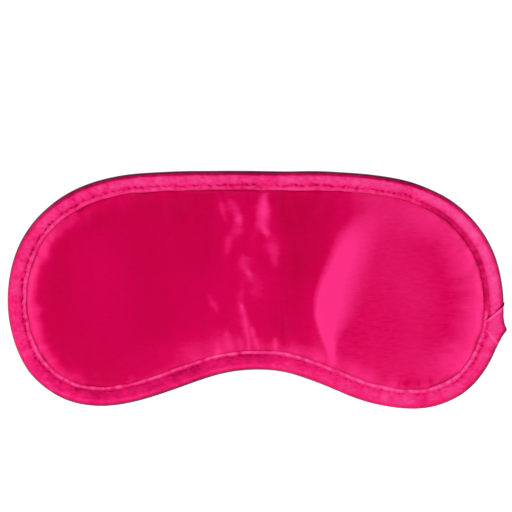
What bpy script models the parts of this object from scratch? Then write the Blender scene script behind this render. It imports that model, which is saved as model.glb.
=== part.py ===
"""Sleep eye mask: a padded satin mask with a bound edge, on an adjustable elastic strap.

The mask stands upright, as it is worn. +X is to the right seen from the front, +Z is up, and the
front faces -Y. The flat middle of the back panel, which lies on the face, is the plane y = 0, and
the origin is on it. Dimensions are in millimetres, turned into metres by MM.
"""

import math

import bmesh
import bpy
import numpy as np
from mathutils import Matrix, Vector

MM = 0.001
OBJECT_NAME = "sleep_eye_mask"

# The mask's outer edge, as (x, z), from the top middle anticlockwise seen from the front.
OUTLINE = (
    (0, 47.4),
    (-40, 47.1),
    (-66, 42.8),
    (-87.5, 29.4),
    (-99.2, 4.5),
    (-98.9, -13.5),
    (-92.5, -31),
    (-79, -42.9),
    (-61, -46.5),
    (-37, -41.1),
    (-18, -34.6),
    (0, -31.8),
    (17, -34.4),
    (40, -43.3),
    (61, -47.6),
    (80.5, -43.1),
    (93.5, -29.2),
    (99, -11),
    (98.4, 3.5),
    (91.5, 22),
    (74, 38.2),
    (50, 45.5),
)
RIM_POINTS = 72  # points round each loop that follows the outline

# How far in from the outer edge things lie.
BINDING_WIDTH = 7.0
STACK_INSET = 2.0
STITCH_INSET = 5.2
FRONT_INSETS = (STACK_INSET, 5.0, BINDING_WIDTH, 9.5, 13.0, 18.0, 24.0, 30.0)
BACK_INSETS = (STACK_INSET, 5.0, BINDING_WIDTH, 9.0, 12.0, 16.0)

# Layers from back to front, along Y.
FRONT_EDGE = -5.6
FRONT_CROWN = -9.5
BACK_EDGE = -2.4
FULLNESS = 2.4  # how quickly the padded faces swell inside the binding
PANEL_THICKNESS = 0.4
BLACKOUT_THICKNESS = 0.3
PADDING_BEHIND_FRONT = 0.75
BLACKOUT_BEFORE_BACK = 1.0
PADDING_BEFORE_BACK = 1.55

# The binding is a tape folded round the stacked layers.
TAPE_THICKNESS = 0.6
TAPE_MIDDLE = -4.0
TAPE_HALF_GAP = 2.2
TAPE_FLAT_MIDDLE = 4.5
TAPE_FOLD_START = 1.9
TAPE_FOLD_REACH = 1.6
TAPE_FOLD_STEPS = 6
JOIN_LIFT = 1.6  # from the middle of the tape to the middle of the piece folded over it and its thread
JOIN_GROW = 0.9  # the same at the outer edge, where there is no thread
JOIN_FOLD_STEPS = 4
JOIN_TOP = -5.0
JOIN_BOTTOM = -21.0
JOIN_POINT = -15.8
JOIN_POINT_REACH = 1.2
JOIN_POINT_SPREAD = 6.4  # how far above and below its tip the point begins
JOIN_STEPS = 8

# Thread.
THREAD_RADIUS = 0.2
TOUCH_GAP = 0.3
TACK_TURNS = 9
TACK_WIDTH = 2.0
TACK_HEIGHT = 11.0

# Elastic strap, sewn to the back of the binding. It runs back beside the head and across behind it.
STRAP_WIDTH = 15.0
STRAP_THICKNESS = 1.0
STRAP_Z = -13.0
STRAP_X = 97.0  # middle of each arm's thickness
STRAP_END_X = 91.8
STRAP_END_Y = -0.7
STRAP_END_RADIUS = 2.3
STRAP_END_TOP = STRAP_END_Y + STRAP_END_RADIUS
ARM_START = 24.0
HINGE_Y = (STRAP_END_TOP + ARM_START) / 2  # the strap bends about this line, parallel to X
ARM_END = 76.0
CORNER_RADIUS = 16.0
REAR_Y = ARM_END + CORNER_RADIUS
RETURN_Y = REAR_Y + STRAP_THICKNESS + TOUCH_GAP

# Ring: a bent wire rectangle. The short strap is folded round one bar and the long one round the other.
RING_X = -42.0
RING_WIRE_RADIUS = 1.0
RING_HALF_LENGTH = 3.0
RING_HALF_HEIGHT = 9.3
RING_CORNER = 1.5
RING_Y = (REAR_Y + RETURN_Y) / 2
TURN_RADIUS = RING_WIRE_RADIUS + TOUCH_GAP + STRAP_THICKNESS / 2
TURN_BLEND = 10.0  # length over which a doubled strap closes up beside the ring
SHORT_FOLD = 21.0

# Slider: a flat frame with a raised middle bar. The long strap runs over the frame and under the bar.
SLIDER_X = 8.0
SLIDER_LENGTH = 16.0
SLIDER_HEIGHT = 21.0
SLIDER_WALL = 2.2
SLIDER_THICKNESS = 1.2
SLIDER_ROUNDING = 0.4
WINDOW_CLEARANCE = 0.7  # above and below the strap
BAR_WIDTH = 2.4
BAR_BOTTOM = RETURN_Y + STRAP_THICKNESS / 2 + TOUCH_GAP
FRAME_TOP = REAR_Y - STRAP_THICKNESS / 2 - TOUCH_GAP
LOOP_TAIL = 12.0
LOOP_RUN = 14.0
LOOP_DROP = 5.0  # from the bar to where the sewn end lies flat

COLOURS = {
    "satin": (0.93, 0.02, 0.37),
    "tape": (0.96, 0.12, 0.47),
    "thread": (0.84, 0.05, 0.38),
    "foam": (0.93, 0.91, 0.88),
    "blackout": (0.03, 0.03, 0.035),
    "elastic": (0.86, 0.05, 0.38),
    "ring": (0.86, 0.12, 0.42),
}


def linear(value):
    """One sRGB channel as scene-linear light."""
    return value / 12.92 if value <= 0.04045 else ((value + 0.055) / 1.055) ** 2.4


def clear_scene():
    for item in list(bpy.data.objects):
        bpy.data.objects.remove(item, do_unlink=True)


def collection(name, hidden=False):
    found = bpy.data.collections.new(name)
    bpy.context.scene.collection.children.link(found)
    found.hide_render = hidden
    return found


def give_material(item, colour, roughness, metallic=0.0):
    material = bpy.data.materials.new(item.name)
    material.use_nodes = True
    shader = material.node_tree.nodes["Principled BSDF"]
    shader.inputs["Base Color"].default_value = [linear(c) for c in COLOURS[colour]] + [1.0]
    shader.inputs["Roughness"].default_value = roughness
    shader.inputs["Metallic"].default_value = metallic
    item.data.materials.clear()
    item.data.materials.append(material)


def shade_round(item, angle_deg=40.0):
    item.data.shade_smooth()
    item.data.set_sharp_from_angle(angle=math.radians(angle_deg))


def mesh_object(name, bm, parts, location=(0.0, 0.0, 0.0)):
    mesh = bpy.data.meshes.new(name)
    bmesh.ops.recalc_face_normals(bm, faces=bm.faces)
    if bm.calc_volume(signed=True) < 0:
        bmesh.ops.reverse_faces(bm, faces=bm.faces)
    bm.to_mesh(mesh)
    bm.free()
    item = bpy.data.objects.new(name, mesh)
    item.location = Vector(location) * MM
    parts.objects.link(item)
    return item


def solidify(item, thickness):
    """Gives an open surface its thickness, half to each side."""
    modifier = item.modifiers.new("thickness", "SOLIDIFY")
    modifier.thickness = thickness * MM
    modifier.offset = 0.0
    modifier.use_even_offset = True


# ---------------------------------------------------------------- the outline


def closed_spline(points, count):
    """A smooth closed curve through the points, as count points evenly spaced along it."""
    knots = np.array(points, float)
    n = len(knots)
    gaps = np.linalg.norm(np.roll(knots, -1, axis=0) - knots, axis=1)
    matrix = np.zeros((n, n))
    right = np.zeros((n, 2))
    for i in range(n):
        before, after = gaps[i - 1], gaps[i]
        matrix[i, i - 1] = before
        matrix[i, i] = 2 * (before + after)
        matrix[i, (i + 1) % n] = after
        slope_after = (knots[(i + 1) % n] - knots[i]) / after
        slope_before = (knots[i] - knots[i - 1]) / before
        right[i] = 6 * (slope_after - slope_before)
    bend = np.linalg.solve(matrix, right)
    dense = []
    for i in range(n):
        j = (i + 1) % n
        for u in np.linspace(0, 1, 40, endpoint=False):
            h = gaps[i]
            straight = (1 - u) * knots[i] + u * knots[j]
            curved = ((1 - u) ** 3 - (1 - u)) * bend[i] + (u**3 - u) * bend[j]
            dense.append(straight + curved * h * h / 6)
    dense = np.array(dense + dense[:1])
    along = np.r_[0, np.cumsum(np.linalg.norm(np.diff(dense, axis=0), axis=1))]
    wanted = np.linspace(0, along[-1], count, endpoint=False)
    return np.column_stack([np.interp(wanted, along, dense[:, k]) for k in (0, 1)])


def outward_normals(points):
    tangent = np.roll(points, -1, axis=0) - np.roll(points, 1, axis=0)
    tangent /= np.linalg.norm(tangent, axis=1)[:, None]
    return np.column_stack([tangent[:, 1], -tangent[:, 0]])


RIM = closed_spline(OUTLINE, RIM_POINTS)
RIM_NORMALS = outward_normals(RIM)


def rim_loop(inset, y):
    """The outline moved inwards by inset, at depth y, as 3-D points in millimetres."""
    flat = RIM - RIM_NORMALS * inset
    return [(x, y, z) for x, z in flat]


def front_y(inset):
    """Depth of the front panel's outer face."""
    u = min(max((inset - BINDING_WIDTH) / (FRONT_INSETS[-1] - BINDING_WIDTH), 0.0), 1.0)
    return FRONT_EDGE + (FRONT_CROWN - FRONT_EDGE) * (1 - (1 - u) ** FULLNESS)


def back_y(inset):
    """Depth of the back panel's outer face: 0 on its flat middle."""
    u = min(max((inset - BINDING_WIDTH) / (BACK_INSETS[-1] - BINDING_WIDTH), 0.0), 1.0)
    return BACK_EDGE * (1 - u) ** FULLNESS


# ---------------------------------------------------------------- surfaces from loops


def add_loop(bm, points, closed=True):
    """A line of vertices with its edges, as (vertices, edges)."""
    verts = [bm.verts.new(Vector(p) * MM) for p in points]
    ends = verts[1:] + verts[:1] if closed else verts[1:]
    return verts, [bm.edges.new(pair) for pair in zip(verts, ends)]


def loft(bm, rings, closed=True):
    """A surface through rings of points: the first ring, extruded to each of the others in turn."""
    first, edges = add_loop(bm, rings[0], closed)
    verts, end_edges = first, edges
    for ring in rings[1:]:
        grown = bmesh.ops.extrude_edge_only(bm, edges=end_edges)["geom"]
        fresh = {g for g in grown if isinstance(g, bmesh.types.BMVert)}
        end_edges = [
            g for g in grown if isinstance(g, bmesh.types.BMEdge) and fresh.issuperset(g.verts)
        ]
        verts = [
            next(e.other_vert(v) for e in v.link_edges if e.other_vert(v) in fresh) for v in verts
        ]
        for vert, point in zip(verts, ring):
            vert.co = Vector(point) * MM
    return edges, end_edges


def dished_sheet(name, insets, depth, thickness, parts):
    """A cloth layer: loops of the outline at growing insets, closed in the middle."""
    bm = bmesh.new()
    _, middle = loft(bm, [rim_loop(s, depth(s)) for s in insets])
    bmesh.ops.edgeloop_fill(bm, edges=middle)
    item = mesh_object(name, bm, parts)
    solidify(item, thickness)
    shade_round(item)
    return item


def make_front_panel(parts):
    half = PANEL_THICKNESS / 2
    item = dished_sheet(
        "front_panel", FRONT_INSETS, lambda s: front_y(s) + half, PANEL_THICKNESS, parts
    )
    give_material(item, "satin", 0.35)


def make_back_panel(parts):
    half = PANEL_THICKNESS / 2
    item = dished_sheet(
        "back_panel", BACK_INSETS, lambda s: back_y(s) - half, PANEL_THICKNESS, parts
    )
    give_material(item, "satin", 0.4)


def make_blackout_layer(parts):
    item = dished_sheet(
        "blackout_layer",
        BACK_INSETS,
        lambda s: back_y(s) - BLACKOUT_BEFORE_BACK,
        BLACKOUT_THICKNESS,
        parts,
    )
    give_material(item, "blackout", 0.9)


def make_padding(parts):
    """The filling: one closed body between the front panel and the blackout layer."""
    bm = bmesh.new()
    front = [rim_loop(s, front_y(s) + PADDING_BEHIND_FRONT) for s in FRONT_INSETS]
    back = [rim_loop(s, back_y(s) - PADDING_BEFORE_BACK) for s in BACK_INSETS]
    for middle in loft(bm, front[::-1] + back):
        bmesh.ops.edgeloop_fill(bm, edges=middle)
    item = mesh_object("padding", bm, parts)
    shade_round(item)
    give_material(item, "foam", 0.95)


# ---------------------------------------------------------------- binding


def tape_section(lift=0.0, grow=0.0, fold_steps=TAPE_FOLD_STEPS):
    """The folded tape's middle surface, as (inset, y) from its front edge round to its back edge.

    lift raises the flat sides and grow pushes the fold outwards, for the piece folded over it.
    """
    half = TAPE_HALF_GAP + lift
    reach = TAPE_FOLD_REACH + grow
    section = [(BINDING_WIDTH, TAPE_MIDDLE - half), (TAPE_FLAT_MIDDLE, TAPE_MIDDLE - half)]
    for step in range(fold_steps + 1):
        angle = math.pi * step / TAPE_FOLD_STEPS
        inset = TAPE_FOLD_START - reach * math.sin(angle)
        section.append((inset, TAPE_MIDDLE - half * math.cos(angle)))
    if fold_steps == TAPE_FOLD_STEPS:
        section += [(TAPE_FLAT_MIDDLE, TAPE_MIDDLE + half), (BINDING_WIDTH, TAPE_MIDDLE + half)]
    return section


def make_edge_binding(parts):
    bm = bmesh.new()
    loft(bm, [rim_loop(s, y) for s, y in tape_section()])
    item = mesh_object("edge_binding", bm, parts)
    solidify(item, TAPE_THICKNESS)
    shade_round(item)
    give_material(item, "tape", 0.3)


def rim_at_height(z):
    """The right edge's point and outward normal at height z."""
    right = np.flatnonzero(RIM[:, 0] > STRAP_END_X - BINDING_WIDTH)
    right = right[np.argsort(RIM[right, 1])]
    point = [np.interp(z, RIM[right, 1], RIM[right, k]) for k in (0, 1)]
    normal = [np.interp(z, RIM[right, 1], RIM_NORMALS[right, k]) for k in (0, 1)]
    return np.array(point), np.array(normal) / np.linalg.norm(normal)


def make_binding_join(parts):
    """The tape's end, folded over its start at the right edge, with a small point."""
    section = tape_section(JOIN_LIFT, JOIN_GROW, JOIN_FOLD_STEPS)
    bm = bmesh.new()
    rings = []
    for z in np.linspace(JOIN_TOP, JOIN_BOTTOM, JOIN_STEPS):
        point, normal = rim_at_height(z)
        reach = JOIN_POINT_REACH * max(0.0, 1 - abs(z - JOIN_POINT) / JOIN_POINT_SPREAD)
        ring = []
        for inset, y in section:
            edge_share = max(0.0, 1 - max(inset, 0.0) / TAPE_FOLD_START)
            x_z = point - normal * (inset - reach * edge_share)
            ring.append((x_z[0], y, x_z[1]))
        rings.append(ring)
    loft(bm, rings, closed=False)
    item = mesh_object("binding_join", bm, parts)
    solidify(item, TAPE_THICKNESS)
    shade_round(item)
    give_material(item, "tape", 0.3)


# ---------------------------------------------------------------- thread


def thread(name, points, parts, closed=False):
    """A round thread along a line of points."""
    curve = bpy.data.curves.new(name, "CURVE")
    curve.dimensions = "3D"
    curve.bevel_depth = THREAD_RADIUS * MM
    curve.bevel_resolution = 1
    curve.use_fill_caps = not closed
    spline = curve.splines.new("POLY")
    spline.points.add(len(points) - 1)
    for target, point in zip(spline.points, points):
        target.co = (*(Vector(point) * MM), 1.0)
    spline.use_cyclic_u = closed
    spline.use_smooth = True
    item = bpy.data.objects.new(name, curve)
    parts.objects.link(item)
    give_material(item, "thread", 0.5)
    return item


def make_stitching(parts):
    """The seam's thread: a loop on the front, and runs above and below the strap ends on the back."""
    tape_face = TAPE_HALF_GAP + TAPE_THICKNESS / 2 + TOUCH_GAP + THREAD_RADIUS
    thread("front_stitching", rim_loop(STITCH_INSET, TAPE_MIDDLE - tape_face), parts, closed=True)
    loop = rim_loop(STITCH_INSET, TAPE_MIDDLE + tape_face)
    clear = STRAP_WIDTH / 2 + TOUCH_GAP + THREAD_RADIUS
    left_side = min(range(RIM_POINTS), key=lambda i: loop[i][0])
    loop = loop[left_side:] + loop[:left_side]
    lower = [p for p in loop if p[2] < STRAP_Z - clear]
    right_side = max(range(RIM_POINTS), key=lambda i: loop[i][0])
    loop = loop[right_side:] + loop[:right_side]
    upper = [p for p in loop if p[2] > STRAP_Z + clear]
    thread("back_stitching_upper", upper, parts)
    thread("back_stitching_lower", lower, parts)


def make_tack(name, centre, across, height, parts):
    """A bar tack: a tight zigzag of thread, running up Z and swinging along across."""
    points = []
    for turn in range(TACK_TURNS + 1):
        side = TACK_WIDTH / 2 if turn % 2 else -TACK_WIDTH / 2
        rise = height * (turn / TACK_TURNS - 0.5)
        points.append(Vector(centre) + Vector(across) * side + Vector((0, 0, rise)))
    thread(name, points, parts)


# ---------------------------------------------------------------- strap


def arc(centre, radius, start_deg, end_deg, steps):
    """Points in the XY plane along an arc."""
    angles = np.radians(np.linspace(start_deg, end_deg, steps + 1))
    return [(centre[0] + radius * math.cos(a), centre[1] + radius * math.sin(a)) for a in angles]


def ribbon(name, path, parts):
    """A length of the elastic: a path in the XY plane raised to the strap's width."""
    bm = bmesh.new()
    bottom = STRAP_Z - STRAP_WIDTH / 2
    loft(bm, [[(x, y, z) for x, y in path] for z in (bottom, bottom + STRAP_WIDTH)], closed=False)
    item = mesh_object(name, bm, parts)
    solidify(item, STRAP_THICKNESS)
    shade_round(item)
    give_material(item, "elastic", 0.6)
    return item


def mirrored(path, side):
    return [(x * side, y) for x, y in path]


def make_strap_sides(parts):
    """On each side: the sewn end with its bend, its bar tack, and the arm beside the head."""
    bend_centre = (STRAP_X - STRAP_END_RADIUS, STRAP_END_TOP)
    bend = arc(bend_centre, STRAP_END_RADIUS, -90, 0, 6)
    sewn_end = [(STRAP_END_X, STRAP_END_Y)] + bend + [(STRAP_X, ARM_START / 2), (STRAP_X, ARM_START)]
    arm = [(STRAP_X, y) for y in (ARM_START + TOUCH_GAP, (ARM_START + ARM_END) / 2, ARM_END)]
    tack_y = STRAP_END_Y + STRAP_THICKNESS / 2 + TOUCH_GAP + THREAD_RADIUS
    tack_x = STRAP_END_X + THREAD_RADIUS + TACK_WIDTH / 2
    for side, word in ((-1, "left"), (1, "right")):
        ribbon(f"strap_end_{word}", mirrored(sewn_end, side), parts)
        ribbon(f"strap_arm_{word}", mirrored(arm, side), parts)
        make_tack(
            f"bar_tack_{word}", (side * tack_x, tack_y, STRAP_Z), (1, 0, 0), TACK_HEIGHT, parts
        )


def corner_path():
    """The right rear corner, from the end of the arm to the straight run across."""
    start = [(STRAP_X, ARM_END + TOUCH_GAP)]
    return start + arc((STRAP_X - CORNER_RADIUS, ARM_END), CORNER_RADIUS, 0, 90, 8)[1:]


def fold_path(bar_x):
    """Round a ring bar at bar_x from the right and back, as it opens beside the bar and closes up."""
    near, far = bar_x + TURN_BLEND / 2, bar_x + TURN_BLEND
    inner_y, outer_y = RING_Y - TURN_RADIUS, RING_Y + TURN_RADIUS
    going = [(far, REAR_Y), (near, (REAR_Y + 2 * inner_y) / 3)]
    turn = arc((bar_x, RING_Y), TURN_RADIUS, -90, -270, 10)
    coming = [(near, (RETURN_Y + 2 * outer_y) / 3), (far, RETURN_Y)]
    return going + turn + coming


def make_rear_strap(parts):
    """The short rear piece, the long rear piece, and the doubled run that comes back to the slider."""
    right_bar = RING_X + RING_HALF_LENGTH
    long_path = corner_path() + [(SLIDER_X, REAR_Y)] + fold_path(right_bar)
    ribbon("rear_strap_long", long_path, parts)
    left_bar = -(RING_X - RING_HALF_LENGTH)
    short_path = corner_path() + fold_path(left_bar) + [(left_bar + SHORT_FOLD, RETURN_Y)]
    ribbon("rear_strap_short", mirrored(short_path, -1), parts)
    tack_x = -(left_bar + SHORT_FOLD - TACK_WIDTH)
    tack_y = RETURN_Y + STRAP_THICKNESS / 2 + TOUCH_GAP + THREAD_RADIUS
    make_tack("ring_fold_tack", (tack_x, tack_y, STRAP_Z), (1, 0, 0), TACK_HEIGHT, parts)
    start = right_bar + TURN_BLEND + TOUCH_GAP
    end = SLIDER_X - LOOP_RUN - TOUCH_GAP
    ribbon("strap_return", [(start, RETURN_Y), (end, RETURN_Y)], parts)


def make_ring(parts):
    """A wire bent to a rectangle with round corners, its long sides upright."""
    half_x, half_z, corner = RING_HALF_LENGTH, RING_HALF_HEIGHT, RING_CORNER
    points = []
    for cx, cz, start in ((1, 1, 0), (-1, 1, 90), (-1, -1, 180), (1, -1, 270)):
        centre = (cx * (half_x - corner), cz * (half_z - corner))
        points += arc(centre, corner, start, start + 90, 4)
    curve = bpy.data.curves.new("ring", "CURVE")
    curve.dimensions = "3D"
    curve.bevel_depth = RING_WIRE_RADIUS * MM
    curve.bevel_resolution = 2
    spline = curve.splines.new("POLY")
    spline.points.add(len(points) - 1)
    for target, (x, z) in zip(spline.points, points):
        target.co = (x * MM, 0.0, z * MM, 1.0)
    spline.use_cyclic_u = True
    spline.use_smooth = True
    item = bpy.data.objects.new("ring", curve)
    item.location = Vector((RING_X, RING_Y, STRAP_Z)) * MM
    parts.objects.link(item)
    give_material(item, "ring", 0.25)


def box(name, low, high, where):
    """A block between two corners, in millimetres, measured from where it is placed."""
    low, high = Vector(low), Vector(high)
    bm = bmesh.new()
    bmesh.ops.create_cube(bm, size=1.0)
    bmesh.ops.scale(bm, vec=(high - low) * MM, verts=bm.verts)
    bmesh.ops.translate(bm, vec=(low + high) / 2 * MM, verts=bm.verts)
    return mesh_object(name, bm, where, location=(SLIDER_X, 0.0, STRAP_Z))


def boolean(item, operand, operation):
    modifier = item.modifiers.new(operand.name, "BOOLEAN")
    modifier.operation = operation
    modifier.object = operand
    modifier.solver = "EXACT"


def make_slider(parts, cutters):
    """A flat frame with a window, and a bridge over it that carries the middle bar."""
    half_x, half_z = SLIDER_LENGTH / 2, SLIDER_HEIGHT / 2
    frame_bottom = FRAME_TOP - SLIDER_THICKNESS
    bar_top = BAR_BOTTOM + SLIDER_THICKNESS
    window_z = STRAP_WIDTH / 2 + WINDOW_CLEARANCE
    item = box("slider", (-half_x, frame_bottom, -half_z), (half_x, FRAME_TOP, half_z), parts)
    bridge = box(
        "slider_bridge",
        (-BAR_WIDTH / 2, frame_bottom, -half_z),
        (BAR_WIDTH / 2, bar_top, half_z),
        cutters,
    )
    window_x = half_x - SLIDER_WALL
    window = box(
        "slider_window",
        (-window_x, frame_bottom - 1, -window_z),
        (window_x, BAR_BOTTOM, window_z),
        cutters,
    )
    boolean(item, bridge, "UNION")
    boolean(item, window, "DIFFERENCE")
    rounding = item.modifiers.new("rounding", "BEVEL")
    rounding.width = SLIDER_ROUNDING * MM
    rounding.segments = 2
    rounding.limit_method = "ANGLE"
    shade_round(item)
    give_material(item, "ring", 0.25)


def make_slider_loop(parts):
    """The long strap's end: round the slider's bar and sewn back on itself."""
    bar_y = BAR_BOTTOM + SLIDER_THICKNESS / 2
    radius = bar_y - RETURN_Y
    tail_y = RETURN_Y + STRAP_THICKNESS + TOUCH_GAP
    start, tail_end = SLIDER_X - LOOP_RUN, SLIDER_X - LOOP_TAIL
    turn_x = SLIDER_X + BAR_WIDTH / 2
    path = [(start, RETURN_Y)] + arc((turn_x, bar_y), radius, -90, 90, 8)
    top_y = bar_y + radius
    path += [(SLIDER_X - BAR_WIDTH / 2, top_y), (SLIDER_X - LOOP_DROP, tail_y), (tail_end, tail_y)]
    ribbon("slider_loop", path, parts)
    tack_y = tail_y + STRAP_THICKNESS / 2 + TOUCH_GAP + THREAD_RADIUS
    tack_x = (tail_end + SLIDER_X - LOOP_DROP) / 2
    make_tack("slider_loop_tack", (tack_x, tack_y, STRAP_Z), (1, 0, 0), TACK_HEIGHT, parts)


def hang(name, place, moving, parts):
    """An empty on a joint's axis, with the moving pieces as its children where they stand."""
    axis = bpy.data.objects.new(name, None)
    axis.location = Vector(place) * MM
    parts.objects.link(axis)
    for piece in moving:
        item = bpy.data.objects[piece]
        item.parent = axis
        item.matrix_parent_inverse = Matrix.Translation(-axis.location)


def main():
    clear_scene()
    parts = collection(OBJECT_NAME)
    cutters = collection("cutters", hidden=True)
    make_front_panel(parts)
    make_padding(parts)
    make_blackout_layer(parts)
    make_back_panel(parts)
    make_edge_binding(parts)
    make_binding_join(parts)
    make_stitching(parts)
    make_strap_sides(parts)
    make_rear_strap(parts)
    make_ring(parts)
    make_slider(parts, cutters)
    make_slider_loop(parts)
    arms = ("strap_arm_left", "strap_arm_right")
    rear = ("rear_strap_short", "rear_strap_long", "strap_return", "ring", "ring_fold_tack")
    hang("swing_axis", (0, HINGE_Y, STRAP_Z), arms + rear, parts)
    hang("slide_axis", (SLIDER_X, RETURN_Y, STRAP_Z), ("slider", "slider_loop", "slider_loop_tack"), parts)
    for cutter in cutters.objects:
        cutter.display_type = "WIRE"
        cutter.hide_render = True


main()
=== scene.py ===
"""Looks for the sleep eye mask: satin panels, stitched tape binding, ribbed elastic strap.

Every shape takes its place from the CAD nodes. Lengths in the constants are millimetres, and MM
turns them into the frame's metres. The front of the mask faces -Y.
"""

import math
import random
from collections import Counter

import bmesh
import bpy
import numpy as np
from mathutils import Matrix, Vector, noise


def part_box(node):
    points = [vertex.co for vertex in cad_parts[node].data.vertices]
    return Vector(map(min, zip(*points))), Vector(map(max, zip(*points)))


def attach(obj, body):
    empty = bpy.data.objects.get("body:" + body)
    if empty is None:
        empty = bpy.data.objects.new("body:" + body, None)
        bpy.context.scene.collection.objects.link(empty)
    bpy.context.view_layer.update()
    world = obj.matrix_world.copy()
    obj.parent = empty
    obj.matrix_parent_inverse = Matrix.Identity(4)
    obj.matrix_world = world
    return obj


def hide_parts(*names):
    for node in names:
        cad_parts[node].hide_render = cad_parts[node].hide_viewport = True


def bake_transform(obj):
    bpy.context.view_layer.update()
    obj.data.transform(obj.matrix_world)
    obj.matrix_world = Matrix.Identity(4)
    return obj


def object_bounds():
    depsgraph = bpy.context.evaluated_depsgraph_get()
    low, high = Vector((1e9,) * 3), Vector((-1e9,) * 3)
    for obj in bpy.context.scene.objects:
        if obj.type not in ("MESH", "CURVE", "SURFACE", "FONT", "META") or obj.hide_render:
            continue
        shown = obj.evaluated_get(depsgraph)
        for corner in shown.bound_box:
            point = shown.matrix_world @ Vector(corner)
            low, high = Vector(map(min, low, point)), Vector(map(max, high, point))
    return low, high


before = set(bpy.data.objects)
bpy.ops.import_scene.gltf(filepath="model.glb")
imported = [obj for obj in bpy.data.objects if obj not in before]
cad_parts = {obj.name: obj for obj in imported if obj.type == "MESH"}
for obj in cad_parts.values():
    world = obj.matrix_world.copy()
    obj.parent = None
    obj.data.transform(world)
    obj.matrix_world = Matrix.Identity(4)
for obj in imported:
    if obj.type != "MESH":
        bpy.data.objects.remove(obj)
cad_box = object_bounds()

MM = 0.001
SEED = 7

# The edge tape and its seam. An inset is a distance in from the mask's outer edge.
TAPE_WIDTH = 7.1
TAPE_CLOTH = 0.5
STITCH_INSET = 5.6
STITCH_PITCH = 2.7
STITCH_LENGTH = 2.1
THREAD_RADIUS = 0.17
TAPE_STEP = 0.6  # spacing of the tape's cross sections

# The front and back panels.
PANEL_GRID = 2.0
PANEL_CLOTH = 0.3
PANEL_EDGE_INSET = 3.2  # the cloth's border, under the tape
PANEL_PIN_INSET = 7.0  # the seam holds the cloth out to here
PANEL_EDGE_HEIGHT = 1.9  # of the border over the tape's middle plane
FRONT_CROWN_Y = -8.2
FRONT_CROWN_REACH = 30.0  # inset where the swell is full
BACK_CROWN_Y = -0.3
BACK_CROWN_REACH = 17.0
BACK_LIMIT_Y = 0.3  # nothing of the back stands out past this
CROWN_POWER = 2.4
SWELL_FRAMES = 20


def linear(value):
    """One sRGB channel from 0 to 255 as scene-linear light."""
    value /= 255
    return value / 12.92 if value <= 0.04045 else ((value + 0.055) / 1.055) ** 2.4


def colour(red, green, blue):
    return (linear(red), linear(green), linear(blue), 1.0)


def smoothstep(value, low, high):
    """0 up to low, 1 from high on, with a smooth rise between."""
    t = np.clip((np.asarray(value, float) - low) / (high - low), 0, 1)
    return t * t * (3 - 2 * t)


def hump(value, middle, width):
    """A smooth rise to 1 at middle, down to about a third one width away."""
    return np.exp(-(((value - middle) / width) ** 2))


# -------- materials


class Nodes:
    """A material's node tree, with short calls to add and join nodes."""

    def __init__(self, name):
        self.material = bpy.data.materials.new(name)
        self.material.use_nodes = True
        self.tree = self.material.node_tree
        self.shader = self.tree.nodes["Principled BSDF"]

    def add(self, kind, **settings):
        node = self.tree.nodes.new(kind)
        for name, value in settings.items():
            if name in node.inputs:
                node.inputs[name].default_value = value
            else:
                setattr(node, name, value)
        return node

    def link(self, source, target):
        self.tree.links.new(source, target)

    def feed(self, source, socket):
        """Links a source to one of the shader's sockets."""
        self.link(source, self.shader.inputs[socket])

    def place(self, scale):
        """Object coordinates, scaled on each axis."""
        where = self.add("ShaderNodeTexCoord")
        mapping = self.add("ShaderNodeMapping")
        mapping.inputs["Scale"].default_value = scale
        self.link(where.outputs["Object"], mapping.inputs["Vector"])
        return mapping.outputs["Vector"]

    def noise(self, scale, detail=2.0):
        node = self.add("ShaderNodeTexNoise", Scale=1.0, Detail=detail)
        self.link(self.place(scale), node.inputs["Vector"])
        return node.outputs["Fac"]

    def ramp(self, source, *stops):
        node = self.add("ShaderNodeValToRGB")
        elements = node.color_ramp.elements
        while len(elements) < len(stops):
            elements.new(0.5)
        for element, (at, value) in zip(elements, stops):
            element.position = at
            element.color = value
        self.link(source, node.inputs["Fac"])
        return node.outputs["Color"]

    def math(self, operation, first, second=0.0):
        node = self.add("ShaderNodeMath", operation=operation)
        for socket, value in zip(node.inputs, (first, second)):
            if isinstance(value, (int, float)):
                socket.default_value = value
            else:
                self.link(value, socket)
        return node.outputs["Value"]

    def swing(self, source, amount):
        """A source from 0 to 1 as a change of up to half the amount each way."""
        return self.math("MULTIPLY", self.math("SUBTRACT", source, 0.5), amount)

    def bump(self, height, strength, distance):
        node = self.add("ShaderNodeBump", Strength=strength, Distance=distance)
        self.link(height, node.inputs["Height"])
        self.feed(node.outputs["Normal"], "Normal")

    def set(self, **values):
        for name, value in values.items():
            self.shader.inputs[name.replace("_", " ")].default_value = value


def satin_material(name, stops, roughness, drifting, slubbed):
    """Satin with long floats of thread along X; the mesh's tone picks the place on the ramp of colours. The
    tone carries painted highlights and painted shade as well as random variation.
    """
    nodes = Nodes(name)
    tone = nodes.add("ShaderNodeAttribute", attribute_name="tone").outputs["Fac"]
    drift = nodes.noise((22, 22, 22), detail=3.0)
    streaks = nodes.noise((180, 600, 2600), detail=2.0)
    slubs = nodes.noise((420, 700, 760), detail=3.0)
    for source, amount in ((drift, drifting), (streaks, 0.17), (slubs, slubbed)):
        tone = nodes.math("ADD", tone, nodes.swing(source, amount))
    nodes.feed(nodes.ramp(tone, *stops), "Base Color")
    nodes.feed(nodes.math("ADD", roughness, nodes.swing(streaks, 0.2)), "Roughness")
    nodes.bump(nodes.math("ADD", streaks, nodes.noise((3200, 900, 3200))), 0.18, 0.00012)
    nodes.set(
        Specular_IOR_Level=0.36,
        Specular_Tint=colour(255, 70, 150),
        Sheen_Weight=0.08,
        Sheen_Roughness=0.35,
        Sheen_Tint=colour(255, 110, 170),
    )
    return nodes.material


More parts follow.
